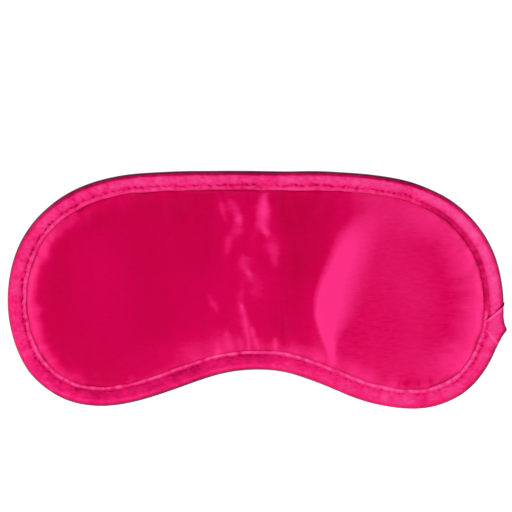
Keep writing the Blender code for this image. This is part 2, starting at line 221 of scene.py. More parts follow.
def thread_material(name, shade):
    """Twisted polyester thread."""
    nodes = Nodes(name)
    twist = nodes.noise((2600, 2600, 2600))
    lighter = tuple(min(1.0, c * 1.35) for c in shade[:3]) + (1.0,)
    nodes.feed(nodes.ramp(twist, (0.3, shade), (0.75, lighter)), "Base Color")
    nodes.bump(twist, 0.5, 0.0001)
    nodes.set(Roughness=0.42, Sheen_Weight=0.2, Specular_Tint=colour(255, 120, 180))
    return nodes.material


def elastic_material():
    """Woven elastic: fine cross threads over the ribs, a little fuzz, and painted shade between the ribs.
    """
    nodes = Nodes("woven_elastic")
    picks = nodes.add("ShaderNodeTexWave", Scale=1.0, Distortion=0.6, bands_direction="X")
    nodes.link(nodes.place((260, 260, 40)), picks.inputs["Vector"])
    fuzz = nodes.noise((1500, 1500, 1500), detail=4.0)
    groove = nodes.add("ShaderNodeAttribute", attribute_name="groove").outputs["Fac"]
    # Painted shade between the ribs from the rib place, lighter on their crests; the fuzz is random
    # variation.
    shade = nodes.math("ADD", nodes.math("MULTIPLY", groove, 0.6), nodes.math("MULTIPLY", fuzz, 0.4))
    nodes.feed(nodes.ramp(shade, (0.1, colour(156, 0, 56)), (0.8, colour(226, 4, 94))), "Base Color")
    nodes.bump(nodes.math("ADD", picks.outputs["Fac"], fuzz), 0.35, 0.00015)
    nodes.set(Roughness=0.72, Sheen_Weight=0.06, Specular_IOR_Level=0.2, Sheen_Tint=colour(255, 90, 160))
    return nodes.material


def adjuster_material():
    """Moulded nylon in the mask's pink, with faint flow marks and rubbed edges."""
    nodes = Nodes("moulded_nylon")
    flow = nodes.noise((160, 160, 60), detail=3.0)
    scuffs = nodes.noise((900, 300, 900), detail=4.0)
    nodes.feed(nodes.ramp(flow, (0.3, colour(176, 2, 72)), (0.7, colour(206, 10, 90))), "Base Color")
    nodes.feed(nodes.math("ADD", 0.22, nodes.math("MULTIPLY", scuffs, 0.2)), "Roughness")
    nodes.bump(scuffs, 0.08, 0.0002)
    nodes.set(Specular_IOR_Level=0.4, Specular_Tint=colour(255, 150, 200))
    return nodes.material


# -------- meshes


def add_object(name, data):
    item = bpy.data.objects.new(name, data)
    bpy.context.scene.collection.objects.link(item)
    return item


def piece(name, verts, faces, material, body="mask"):
    """A mesh object made from vertices in millimetres, riding on a body."""
    mesh = bpy.data.meshes.new(name)
    mesh.from_pydata((np.asarray(verts) * MM).tolist(), [], faces)
    mesh.validate()
    item = add_object(name, mesh)
    mesh.materials.append(material)
    mesh.shade_smooth()
    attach(item, body)
    return item


def set_attribute(item, name, values):
    """One number for each vertex, which the material reads by name."""
    attribute = item.data.attributes.new(name, "FLOAT", "POINT")
    attribute.data.foreach_set("value", np.asarray(values, np.float32))


def points_of(item):
    """A mesh's vertices in millimetres."""
    flat = np.empty(len(item.data.vertices) * 3)
    item.data.vertices.foreach_get("co", flat)
    return flat.reshape(-1, 3) / MM


def move_points(item, points):
    item.data.vertices.foreach_set("co", (points * MM).ravel())
    item.data.update()


def strip_faces(rows, columns, closed):
    """Quads of a grid of rows of vertices, whose last row may join the first."""
    faces = []
    for r in range(rows if closed else rows - 1):
        here, after = r * columns, (r + 1) % rows * columns
        for c in range(columns - 1):
            faces.append((here + c, after + c, after + c + 1, here + c + 1))
    return faces


def apply_modifiers(item):
    """Puts the modifiers' result into the mesh, keeping its materials."""
    graph = bpy.context.evaluated_depsgraph_get()
    final = bpy.data.meshes.new_from_object(item.evaluated_get(graph))
    item.modifiers.clear()
    item.data = final
    final.shade_smooth()


# -------- the outline, from the CAD binding


class Outline:
    """The mask's outer edge in the XZ plane, finely sampled, with distances in from it."""

    def __init__(self, points, spacing):
        knots = np.vstack([points[-1:], points, points[:2]])
        dense = []
        for a, b, c, d in zip(knots, knots[1:], knots[2:], knots[3:]):
            for u in np.linspace(0, 1, 16, endpoint=False):
                bend = (2 * a - 5 * b + 4 * c - d) * u**2 + (3 * b - a - 3 * c + d) * u**3
                dense.append(0.5 * (2 * b + (c - a) * u + bend))
        dense = np.array(dense + dense[:1])
        along = np.r_[0, np.cumsum(np.linalg.norm(np.diff(dense, axis=0), axis=1))]
        self.length = along[-1]
        self.count = round(self.length / spacing)
        self.along = np.linspace(0, self.length, self.count, endpoint=False)
        self.at = np.column_stack([np.interp(self.along, along, dense[:, k]) for k in (0, 1)])
        tangent = np.roll(self.at, -1, axis=0) - np.roll(self.at, 1, axis=0)
        self.tangent = tangent / np.linalg.norm(tangent, axis=1)[:, None]
        self.normal = np.column_stack([self.tangent[:, 1], -self.tangent[:, 0]])

    def inset(self, flat):
        """For points (x, z): how far in from the edge each is, and the nearest sample's index."""
        nearest = np.empty(len(flat), int)
        for start in range(0, len(flat), 4000):
            part = flat[start : start + 4000]
            gap = ((part[:, None, :] - self.at[None, ::2, :]) ** 2).sum(2)
            nearest[start : start + 4000] = gap.argmin(1) * 2
        depth = -((flat - self.at[nearest]) * self.normal[nearest]).sum(1)
        return depth, nearest

    def inside(self, index, inset):
        """The point (x, z) in from the sample at index."""
        return self.at[index] - self.normal[index] * np.asarray(inset)[..., None]


def cad_outline():
    """The CAD binding's fold, as (x, z) points in anticlockwise order, and the depth of its middle."""
    verts = points_of(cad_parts["edge_binding"])
    middle = (verts[:, 1].min() + verts[:, 1].max()) / 2
    ring = np.unique(verts[np.abs(verts[:, 1] - middle) < 0.1][:, [0, 2]].round(3), axis=0)
    reach = np.linalg.norm(ring, axis=1)
    outer = []
    for point, far in zip(ring, reach):
        gaps = np.linalg.norm(ring - point, axis=1)
        partner = gaps.argsort()[1]
        if far > reach[partner]:
            outer.append(point)
    outer = np.array(outer)
    return outer[np.argsort(np.arctan2(outer[:, 1], outer[:, 0]))], middle


RING, TAPE_MIDDLE = cad_outline()
EDGE = Outline(RING, TAPE_STEP)


def ripple(places, scale, seed):
    """Smooth noise from -1 to 1 at 3-D places, one wave per scale millimetres."""
    shift = Vector((seed * 13.7, seed * 5.1, seed * 9.3))
    return np.array([noise.noise(Vector(p) / scale + shift) for p in places]) * 2


def edge_ripple(scale, seed):
    """Smooth noise from -1 to 1 at each sample of the outline."""
    return ripple([(x, 0, z) for x, z in EDGE.at], scale, seed)


# -------- panels

SATIN = satin_material(
    "pink_satin",
    # The ramp runs from painted shade at 0 through the satin's dye to painted highlight at 1.
    ((0.0, colour(174, 0, 44)), (0.5, colour(216, 0, 82)), (1.0, colour(255, 48, 134))),
    roughness=0.34,
    drifting=0.16,
    slubbed=0.14,
)
FRONT_TONE = 0.33
BACK_TONE = 0.40

# Soft folds in the front: a path of (x, z) points, half width, height and change of tone, which is painted
# highlight where positive and painted shade where negative.
FOLDS = (
    (((3.4, 37.8), (2.8, 33), (2.9, 28), (4.6, 22)), 2.5, 0.6, 0.6),
    (((5.2, 22), (6.9, 16), (7.4, 9.5)), 2.7, 0.22, 0.26),
    (((-14.7, 38), (-13.8, 33), (-12.6, 27.5)), 1.4, 0.22, 0.24),
    (((-10.5, 36), (-8, 32), (-6.9, 28)), 2.1, 0.26, 0.2),
    (((-6.8, 29), (-7.6, 25.5), (-9.4, 21.5), (-12, 16)), 2.9, 0.24, 0.27),
    (((-5.4, 13.5), (-4.2, 10), (-2.6, 6.5)), 2.2, 0.22, 0.28),
    (((-2, 5.5), (0.5, 1.5), (2.6, -2.8)), 2.8, 0.14, 0.16),
    (((-18.6, -2), (-17.2, -5.5), (-15.5, -9)), 1.8, 0.16, 0.18),
    (((-7.6, 2.5), (-6.8, -2), (-5.9, -6)), 2, 0.16, 0.14),
    (((-5.6, -6.4), (-4.9, -11.5), (-4.1, -16.2), (-2.2, -25)), 1.1, 0.34, 0.4),
    (((-2.1, -14.9), (-0.4, -19.5), (1.4, -24)), 1, 0.24, 0.3),
    (((-11.9, -18), (-11.2, -21), (-10.4, -25)), 1.6, 0.28, 0.32),
    (((-15.3, -21.5), (-14.8, -26.5)), 1.1, 0.2, 0.22),
    (((-7, -19.8), (-6.5, -24.5)), 1, 0.2, 0.2),
    (((7.7, -19.5), (7.8, -24.5)), 0.8, 0.24, 0.3),
    (((11.5, 38), (10.5, 30), (9.5, 24)), 2.6, -0.2, -0.06),
    (((-3, 37.5), (-1.6, 31), (-1.2, 25)), 1.5, -0.25, -0.12),
    (((57.6, -37.4), (57, -40.2)), 0.7, -0.16, -0.16),
    (((61, -36.4), (60.4, -40)), 0.7, -0.2, -0.2),
    (((64.8, -36.2), (65, -39.6)), 0.7, -0.2, -0.18),
    (((69.2, -35.4), (69.7, -38.4)), 0.7, -0.16, -0.16),
    (((31.5, -21), (29.5, -31)), 1.2, 0.2, 0.2),
)
# The same in the back: dents only, because the back lies flat on the face; their change of tone is painted
# light and shade too.
BACK_FOLDS = (
    (((-2, 36), (-3, 29), (-2, 22)), 1.8, -0.25, 0.22),
    (((6.5, 35), (7.5, 28)), 1.4, -0.2, -0.16),
    (((-5, -24), (-6.5, -16), (-6, -9)), 1.4, -0.25, 0.26),
    (((1.5, -23.5), (2.5, -15), (1, -7)), 1.2, -0.25, 0.3),
    (((8.5, -24), (10.5, -17)), 1.3, -0.2, 0.2),
    (((-52, 22), (-36, 3), (-30, -14)), 5, -0.2, 0.2),
    (((44, 24), (36, 8), (33, -12)), 5.5, -0.2, 0.22),
)
# Broad places of painted highlight and painted shade on the front, standing in for the satin's sheen:
# centre (x, z), half widths and change of tone.
PAINTED_SHEEN_PATCHES = (
    ((-62, 8), (13, 16), 0.1), ((-79, 6), (5, 20), -0.1), ((-66, 33), (11, 5), -0.07),
    ((-47, -12), (13, 12), -0.06), ((-25, -24), (12, 5), 0.12), ((-9, 30), (10, 12), 0.07),
    ((-3, 0), (14, 26), 0.11), ((8, -27), (18, 7), 0.3), ((-28, -29), (9, 4), 0.1),
    ((24, -10), (9, 16), 0.12), ((26, 32), (12, 9), -0.05), ((48, 38), (8, 5), 0.1),
    ((64, 30), (10, 9), 0.12), ((55, -12), (7, 14), -0.05), ((60, 2), (22, 26), 0.05),
    ((74, 8), (7, 20), -0.03), ((44, -30), (14, 6), 0.04), ((66, -30), (16, 9), 0.12),
    ((84, -4), (5, 18), -0.1),
)
# The long fold down the right lobe, from the top down: height, its crisp left edge, its width.
LONG_FOLD = (
    (38, 50, 6), (31, 41.5, 11), (24, 33.5, 13), (14, 29.4, 13), (-1, 23.8, 14.5),
    (-11, 23.4, 11.6), (-19, 26, 5.2), (-24, 28, 2.6), (-29.5, 30.4, 2),
)
LONG_FOLD_RISE = 0.8
# How much the long fold is painted lighter: a painted highlight.
LONG_FOLD_HIGHLIGHT = 0.66
# The hollow between the nose and the long fold: centre (x, z), half widths, depth and change of tone, a
# painted shade that darkens the hollow.
VALLEY_AT = (17, 16)
VALLEY_SIZE = (11, 20)
VALLEY_DEPTH = 0.5
VALLEY_SHADE = 0.10


def long_fold(z):
    """The long fold's left edge and width at heights z, its corners rounded by a moving average."""
    heights, *values = zip(*LONG_FOLD[::-1])
    samples, spread = 200, 15
    fine = np.linspace(heights[0], heights[-1], samples)
    window = np.hanning(2 * spread + 1)
    window /= window.sum()
    found = []
    for value in values:
        padded = np.pad(np.interp(fine, heights, value), spread, mode="edge")
        found.append(np.interp(z, fine, np.convolve(padded, window, mode="valid")))
    return found


def patch(flat, at, size):
    """A soft oval place round a centre, 1 at its middle."""
    x, z = flat.T
    return np.exp(-(((x - at[0]) / size[0]) ** 2) - ((z - at[1]) / size[1]) ** 2)


def path_gap(flat, path):
    """How far points lie from a path, and how far along it their nearest place is, from 0 to 1."""
    lengths = np.linalg.norm(np.diff(path, axis=0), axis=1)
    reached = np.r_[0, np.cumsum(lengths)] / lengths.sum()
    best = np.full(len(flat), 1e9)
    share = np.zeros(len(flat))
    for k, (start, end) in enumerate(zip(path, path[1:])):
        run = end - start
        part = np.clip(((flat - start) @ run) / (run @ run), 0, 1)
        gap = np.linalg.norm(flat - start - part[:, None] * run, axis=1)
        closer = gap < best
        best = np.where(closer, gap, best)
        share = np.where(closer, reached[k] + part * (reached[k + 1] - reached[k]), share)
    return best, share


def add_folds(flat, folds):
    """Height and tone of soft folds at points (x, z): a crest that tapers to its ends, on a wide foot. The
    tone is painted light and shade that follows each fold.
    """
    height = np.zeros(len(flat))
    tone = np.zeros(len(flat))
    for path, width, rise, shade in folds:
        gap, share = path_gap(flat, np.array(path))
        taper = 0.45 + 0.55 * np.sin(math.pi * share**0.8)
        spread = 0.8 * hump(gap, 0, 1.15 * width * taper) + 0.2 * hump(gap, 0, 2.6 * width)
        height += rise * spread
        tone += 0.85 * shade * spread
    return height, tone


def fold_relief(flat):
    """Height and tone that the folds add to the front panel at points (x, z); the tone is painted highlight
    and shade on the folds, along the long fold, in the broad sheen patches and in the valley.
    """
    x, z = flat.T
    places = [(a, 0, b) for a, b in flat]
    strayed = flat + 0.6 * np.column_stack([ripple(places, 8.0, 41), ripple(places, 8.0, 42)])
    strayed = strayed + 0.2 * np.column_stack([ripple(places, 2.6, 43), ripple(places, 2.6, 44)])
    height, tone = add_folds(strayed, FOLDS)
    tone *= 1.1 + 0.35 * ripple(places, 4.5, 45)
    edge, width = long_fold(z)
    beyond = x - edge
    ends = smoothstep(z, -33, -20) * (1 - smoothstep(z, 12, 37))
    soft = 1.8 + 4.2 * smoothstep(z, -16, 20)
    raised = smoothstep(beyond, -2.0 - soft, soft) * (1 - smoothstep(beyond, 0, 1.6 * width))
    # Painted highlight along the long fold: lighter from its crisp left edge, fading to the right.
    lit = smoothstep(beyond, -0.6 * soft, 0.8 * soft) * (1 - smoothstep(beyond, 0.30 * width, 1.60 * width))
    height += LONG_FOLD_RISE * ends * raised
    tone += LONG_FOLD_HIGHLIGHT * ends * lit
    # Painted highlights and shade of the broad patches, and painted shade in the valley.
    for at, size, shade in PAINTED_SHEEN_PATCHES:
        tone += shade * patch(flat, at, size)
    valley = patch(flat, VALLEY_AT, VALLEY_SIZE)
    return height - VALLEY_DEPTH * valley, tone - VALLEY_SHADE * valley


def seam_groove():
    """How deep the tape's inner edge sinks at each outline sample: a groove round the upper right."""
    x, z = EDGE.at.T
    return smoothstep(x, 58, 80) * smoothstep(z, -14, -2)


def seam_puckers(depth, nearest, reach, amount, seed):
    """Short gathers running in from the seam, fading over reach millimetres."""
    coarse = edge_ripple(5.5, seed)[nearest]
    fine = edge_ripple(2.4, seed + 1)[nearest]
    fade = np.exp(-np.clip(depth - PANEL_PIN_INSET, 0, None) / reach)
    return amount * (0.65 * coarse + 0.45 * fine) * fade * smoothstep(depth, 5.5, PANEL_PIN_INSET + 1.0)


def panel_grid(step):
    """A grid of quads over the outline's inside, its border drawn onto the edge under the tape."""
    low, high = EDGE.at.min(0), EDGE.at.max(0)
    xs = np.arange(low[0], high[0] + step, step)
    zs = np.arange(low[1], high[1] + step, step)
    flat = np.array([(x, z) for x in xs for z in zs])
    depth, nearest = EDGE.inset(flat)
    keep = depth > PANEL_EDGE_INSET
    faces = [face for face in strip_faces(len(xs), len(zs), closed=False) if keep[list(face)].all()]
    count = Counter(v for face in faces for v in face)
    used = sorted(count)
    for v in used:
        if count[v] < 4:
            flat[v] = EDGE.inside(nearest[v], PANEL_EDGE_INSET)
    index = {v: k for k, v in enumerate(used)}
    return flat[used], [tuple(index[v] for v in face) for face in faces]


def merge_close(item, gap):
    """Makes one of points closer than gap mm, and drops the faces that leaves empty."""
    bm = bmesh.new()
    bm.from_mesh(item.data)
    bmesh.ops.remove_doubles(bm, verts=bm.verts, dist=gap * MM)
    bm.to_mesh(item.data)
    bm.free()


def swell(item, pinned, most):
    """Cloth filled from behind: a short simulation, with each point's travel kept under most mm."""
    start = points_of(item)
    group = item.vertex_groups.new(name="seam")
    group.add(np.flatnonzero(pinned).tolist(), 1.0, "REPLACE")
    settings = item.modifiers.new("filling", "CLOTH").settings
    settings.quality = 6
    settings.mass = 0.15
    settings.tension_stiffness = 20
    settings.compression_stiffness = 12
    settings.shear_stiffness = 6
    settings.bending_stiffness = 0.15
    settings.vertex_group_mass = "seam"
    settings.use_pressure = True
    settings.uniform_pressure_force = 20
    settings.shrink_min = -0.02
    settings.effector_weights.gravity = 0
    scene = bpy.context.scene
    for moment in range(1, SWELL_FRAMES + 1):
        scene.frame_set(moment)
    travel = points_of(item.evaluated_get(bpy.context.evaluated_depsgraph_get())) - start
    item.modifiers.clear()
    scene.frame_set(1)
    length = np.linalg.norm(travel, axis=1)
    travel *= np.minimum(1, most / np.maximum(length, 1e-9))[:, None]
    move_points(item, start + travel)


def crown(depth, edge_y, crown_y, reach):
    """Depth along Y of a padded face that swells in from the seam."""
    share = np.clip((depth - PANEL_PIN_INSET) / (reach - PANEL_PIN_INSET), 0, 1)
    return edge_y + (crown_y - edge_y) * (1 - (1 - share) ** CROWN_POWER)


def subdivide(item, levels):
    modifier = item.modifiers.new("fine", "SUBSURF")
    modifier.levels = levels
    modifier.render_levels = levels
    modifier.boundary_smooth = "PRESERVE_CORNERS"
    apply_modifiers(item)


def make_panel(name, facing, crown_y, reach, levels, travel):
    """A satin panel from its border under the tape up to its crown, swelled by up to travel mm."""
    flat, faces = panel_grid(PANEL_GRID)
    depth, _ = EDGE.inset(flat)
    y = crown(depth, TAPE_MIDDLE + facing * PANEL_EDGE_HEIGHT, crown_y, reach)
    if facing > 0:
        faces = [face[::-1] for face in faces]
    item = piece(name, np.column_stack([flat[:, 0], y, flat[:, 1]]), faces, SATIN)
    merge_close(item, PANEL_GRID * 0.3)
    depth, _ = EDGE.inset(points_of(item)[:, [0, 2]])
    swell(item, depth < PANEL_PIN_INSET, travel)
    subdivide(item, levels)
    return item


def make_front_panel():
    """The puffed front with its folds, gathers and long fold, and their painted highlights and shade."""
    item = make_panel("satin_front", -1, FRONT_CROWN_Y, FRONT_CROWN_REACH, levels=2, travel=1.6)
    points = points_of(item)
    flat = points[:, [0, 2]]
    depth, nearest = EDGE.inset(flat)
    height, tone = fold_relief(flat)
    inside = smoothstep(depth, 5.0, 10.0)
    puckers = seam_puckers(depth, nearest, 3.2, 0.42, 3)
    drift = ripple([(x, 0, z) for x, z in flat], 26.0, 5)
    small = ripple([(x * 1.6, 0, z * 0.55) for x, z in flat], 7.0, 6)
    middle = hump(flat[:, 0], 2, 26)
    groove = seam_groove()[nearest]
    height = puckers + inside * (height + 0.25 * drift + 0.14 * small * (0.4 + middle))
    # The cloth stays behind the tape, and rises only past its inner edge.
    under_tape = TAPE_MIDDLE - PANEL_EDGE_HEIGHT - 0.08 + 0.5 * groove
    ceiling = under_tape - 6.0 * smoothstep(depth, 7.2, 10.2)
    points[:, 1] = np.maximum(points[:, 1] - height, ceiling)
    move_points(item, points)
    # Painted highlight: the rim is lighter where the swell turns to the side lights, with a scalloped inner
    # border.
    right_facing, up_facing = EDGE.normal[nearest].T
    scallop = depth + 1.1 * edge_ripple(4.5, 8)[nearest] + 0.4 * drift
    left = np.clip(-right_facing, 0, 1) ** 0.8 * (1 - smoothstep(scallop, 9.4, 14.8))
    right = np.clip(right_facing, 0, 1) ** 1.2 * (1 - smoothstep(scallop, 10.0, 23.0))
    below = np.clip(-up_facing, 0, 1) * (1 - smoothstep(scallop, 7.5, 10.5))
    ragged = depth + 0.5 * edge_ripple(1.6, 31)[nearest]
    tone = FRONT_TONE + tone * inside + 0.46 * left + 0.42 * right + 0.16 * below
    # More painted light: the right half lighter, and the puckers and undulations lighter where they rise.
    tone += 0.20 * smoothstep(flat[:, 0], 10, 50) + 0.3 * puckers + 0.05 * drift + 0.05 * small * middle
    # Painted shade in the seam's groove round the upper right.
    tone -= 0.17 * (1 - smoothstep(ragged, 7.6, 8.6)) * groove
    set_attribute(item, "tone", tone)
    add_cloth_thickness(item, PANEL_CLOTH)
    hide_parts("front_panel", "padding")


def make_back_panel():
    """The flatter back, dented and gathered but not swelled towards the face."""
    item = make_panel("satin_back", 1, BACK_CROWN_Y, BACK_CROWN_REACH, levels=1, travel=0.8)
    points = points_of(item)
    flat = points[:, [0, 2]]
    depth, nearest = EDGE.inset(flat)
    inside = smoothstep(depth, 5.0, 10.0)
    puckers = seam_puckers(depth, nearest, 3.6, 0.35, 11)
    drift = ripple([(x, 0, z) for x, z in flat], 24.0, 12)
    small = ripple([(x * 1.4, 0, z * 0.6) for x, z in flat], 8.0, 13)
    height, tone = add_folds(flat + 0.6 * np.column_stack([drift, small]), BACK_FOLDS)
    points[:, 1] += puckers + (0.2 * drift + 0.12 * small + height) * inside
    ceiling = TAPE_MIDDLE + PANEL_EDGE_HEIGHT + 6.0 * smoothstep(depth, 7.2, 10.6)
    points[:, 1] = np.minimum(points[:, 1], np.minimum(ceiling, BACK_LIMIT_Y))
    move_points(item, points)
    # Painted highlight at the left and right rims; the folds' tone, the undulations and the puckers add
    # painted light and shade.
    rim_highlight = np.abs(EDGE.normal[nearest][:, 0]) * (1 - smoothstep(depth + 1.5 * drift, 9.0, 18.0))
    tone = BACK_TONE + tone * inside + 0.16 * drift + 0.06 * small + 0.3 * puckers + 0.32 * rim_highlight
    set_attribute(item, "tone", tone)
    add_cloth_thickness(item, PANEL_CLOTH)
    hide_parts("back_panel", "blackout_layer")


def add_cloth_thickness(item, thickness):
    modifier = item.modifiers.new("cloth", "SOLIDIFY")
    modifier.thickness = thickness * MM
    modifier.offset = -1
    apply_modifiers(item)


# -------- binding tape

TAPE = satin_material(
    "binding_satin",
    (
        # The darkest stops give the painted shade on the fold's rim and round the seam, the lightest the
        # painted highlight on the lip.
        (0.0, colour(74, 0, 40)), (0.12, colour(136, 0, 58)), (0.28, colour(194, 4, 76)),
        (0.5, colour(240, 24, 110)), (1.0, colour(255, 90, 166)),
    ),
    roughness=0.44,
    drifting=0.10,
    slubbed=0.30,
)
TAPE_TONE = 0.60
GROOVE_SHADE_TONE = 0.33  # painted shade of the groove round the upper right

# The tape's front half section, as (inset, height over the middle plane), from its inner edge out.
TAPE_SECTION = (
    (TAPE_WIDTH, 2.10), (7.0, 2.28), (6.75, 2.36), (6.45, 2.26), (6.15, 2.04), (5.88, 1.92),
    (5.6, 1.88), (5.32, 1.94), (4.9, 2.10), (4.2, 2.26), (3.4, 2.30), (2.6, 2.24), (1.9, 2.08),
)
FOLD_START = 1.9  # inset where the tape begins to turn over the edge
FOLD_REACH = 1.72
FOLD_STEPS = 10
BAND_INSET = 3.2  # the middle of the band between the fold and the seam
LIP_INSET = 6.85  # the raised lip along the tape's inner edge
RIM_SHADE_HEIGHT = 1.1  # the painted shade on the fold's rim is centred on its front shoulder
RIM_SHADE_SPREAD = 0.80
RIM_SHADE_REACH = 1.25
# A second band of painted shade on the rim, where it faces up, centred at this inset.
SECOND_RIM_SHADE_INSET = 1.37


def tape_profile():
    """The whole section, front edge to back edge, as (inset, height), height negative at the back."""
    front = list(TAPE_SECTION)
    height = front[-1][1]
    fold = []
    for step in range(1, FOLD_STEPS):
        angle = math.pi * step / FOLD_STEPS
        fold.append((FOLD_START - FOLD_REACH * math.sin(angle), height * math.cos(angle)))
    back = [(inset, -rise) for inset, rise in front[::-1]]
    return np.array(front + fold + back)


def stitch_centres():
    """Each stitch's middle along the edge, at a machine's slightly uneven pitch."""
    chance = random.Random(SEED)
    stitches = round(EDGE.length / STITCH_PITCH)
    return [(k + 0.5 + chance.uniform(-0.36, 0.36)) / stitches * EDGE.length for k in range(stitches)]


def between_stitches():
    """1 midway between two stitches and 0 at a stitch's middle, for each outline sample."""
    centres = stitch_centres()
    return 0.5 + 0.5 * np.cos(2 * math.pi * (np.interp(EDGE.along, centres, np.arange(len(centres))) + 0.5))


def rim_shade(inset, height):
    """How much of the painted shade along the fold's rim falls on a point of the section, from 0 to 1."""
    past_rim = max(inset - (FOLD_START - FOLD_REACH), 0.0)
    return hump(past_rim, 0, RIM_SHADE_REACH) * hump(height, RIM_SHADE_HEIGHT, RIM_SHADE_SPREAD)


def seam_wander():
    """How far the seam strays in from its line at each outline sample."""
    return 0.20 * edge_ripple(8.0, 26) + 0.30 * edge_ripple(2.2, 27)


def crumple(place, width):
    """A bump along the edge around the outline point nearest to a place."""
    return hump(np.linalg.norm(EDGE.at - np.array(place), axis=1), 0, width)


class AlongTape:
    """What varies along the tape, one value for each outline sample."""

    def __init__(self):
        facing_right, self.facing_up = np.clip(EDGE.normal, 0, 1).T
        self.facing_down = np.clip(-EDGE.normal[:, 1], 0, 1)
        self.upper_right = np.clip(EDGE.normal @ (0.8, 0.6), 0, 1) ** 2
        self.low_right = smoothstep(EDGE.at[:, 0], -10, 60)
        # How strong the painted shade on the rim is: strongest where the edge faces up or right.
        self.rim_shade_weight = 0.46 + 0.54 * np.maximum(self.facing_up**0.6, facing_right)
        self.between = between_stitches()
        self.wander = seam_wander()
        self.seam_width = 0.52 + 0.2 * edge_ripple(1.9, 28)
        self.uneven = np.clip(0.55 + 1.2 * edge_ripple(3.6, 25), 0.0, 1.6)
        self.wave = edge_ripple(14.0, 21)
        self.waist = edge_ripple(6.0, 24)
        self.gather = edge_ripple(3.4, 22)
        self.fine = edge_ripple(1.7, 23)
        self.crease = crumple((-96, -15.5), 1.1) - 0.6 * crumple((-96, -18.0), 1.2)
        self.groove = seam_groove()

    def zones(self, inset):
        """How much an inset belongs to the seam, the band, the lip and the groove, from 0 to 1."""
        seam = hump(inset, STITCH_INSET + self.wander, self.seam_width)
        band = hump(inset, BAND_INSET, 1.8)
        lip = hump(inset, LIP_INSET, 0.32)
        return seam, band, lip, smoothstep(inset, 4.6, 6.4) * self.groove

    def rise(self, inset, height):
        """The tape's height over the middle plane: pulled in by stitches, gathered, with a wavy lip."""
        seam, band, lip, groove = self.zones(inset)
        rise = abs(height) + seam * (0.10 * self.between - 0.30 * (1 - self.between) * self.uneven)
        rise = rise + band * (0.13 * self.gather + 0.06 * self.fine)
        rise = rise + lip * (0.12 * self.waist + 0.10 * self.fine)
        rise = rise + 0.45 * self.crease * hump(inset, 4.0, 2.6)
        if height > 0:
            rise = rise - 0.15 * groove
        return rise

    def tone(self, inset, height):
        """Painted shade round the seam, in the groove, along the inner edge, on the fold's rim and where
        the edge faces down; painted highlight on the lip and at the upper right.
        """
        seam, band, lip, groove = self.zones(inset)
        blotch = ripple([(along, 1.6 * inset, 0) for along in EDGE.along], 1.5, 34)
        # Painted shade along the seam: blotchy, deepest at each stitch's dip and lighter between the
        # stitches.
        seam_blotch_shade = hump(inset, STITCH_INSET, 1.0) * np.clip(blotch - 0.15, 0, 1)
        stitch_dip_shade = 0.15 + 0.32 * (1 - self.between) * self.uneven - 0.10 * self.between * (1 + self.fine)
        seam_shade = (seam * stitch_dip_shade + 0.40 * seam_blotch_shade) * (1 - 0.75 * self.groove) - 0.09 * blotch * band
        # Base tone with painted light and shade on the gathers, less the painted seam shade.
        tone = TAPE_TONE + 0.07 * self.gather * band - seam_shade * (1 - 0.55 * self.facing_down)
        # Painted highlight on the raised lip.
        tone = tone + 0.24 * (1 - 0.7 * self.facing_up) * lip * (1 + 0.9 * self.fine)
        # Painted shade along the tape's inner edge.
        tone = tone - 0.10 * (inset == TAPE_WIDTH)
        # Painted shade in the groove round the upper right.
        groove_shade_share = np.clip(1.2 * groove, 0, 1)
        tone = tone * (1 - groove_shade_share) + (GROOVE_SHADE_TONE + 0.06 * self.fine) * groove_shade_share
        # Painted shade on the fold's rim, and painted highlight on the band at the upper right.
        tone = tone - 0.86 * self.rim_shade_weight * rim_shade(inset, height) + 0.22 * self.upper_right * band
        # A second band of painted shade where the rim faces up.
        if height > 0:
            tone = tone - 0.34 * self.facing_up**2 * hump(inset, SECOND_RIM_SHADE_INSET, 0.3)
        # Painted shade where the edge faces down, less of it to the lower right.
        underside_shade = self.facing_down**2 * (1 - lip) * (1 - hump(inset, 1.5, 0.8))
        tone = tone - (0.20 - 0.22 * self.low_right) * underside_shade
        # Random tone along the edge, and painted light and shade on the crumple near the left end.
        return tone + 0.04 * self.wave + 0.25 * self.crease


def make_binding():
    """The tape folded round the whole edge: the section's points, carried round the outline."""
    profile = tape_profile()
    tape = AlongTape()
    verts = []
    tones = []
    for inset, height in profile:
        shift = inset + 0.10 * tape.wave + (0.16 * tape.waist if inset > 6.4 else 0.0)
        spot = EDGE.at - EDGE.normal * shift[:, None]
        side = np.sign(round(height, 6))  # 1 in front, -1 behind and 0 on the outermost line
        y = TAPE_MIDDLE - side * tape.rise(inset, height)
        verts.append(np.column_stack([spot[:, 0], y, spot[:, 1]]))
        tones.append(tape.tone(inset, height))
    verts = np.array(verts).transpose(1, 0, 2).reshape(-1, 3)
    faces = strip_faces(EDGE.count, len(profile), closed=True)
    item = piece("binding_tape", verts, faces, TAPE)
    set_attribute(item, "tone", np.array(tones).T.reshape(-1))
    add_cloth_thickness(item, TAPE_CLOTH)
    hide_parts("edge_binding")


# -------- thread

THREAD = thread_material("pink_thread", colour(184, 0, 68))
THREAD_SIDES = 6
STITCH_TOP = 2.10  # of a stitch's middle over the middle plane
STITCH_DROP = 0.42  # of its ends, into the tape
STITCH_LEAN = 0.14
TACK_TURNS = 34
TACK_RADIUS = 0.15
TACK_LIFT = 0.34  # of the zigzag's turns over its crossings


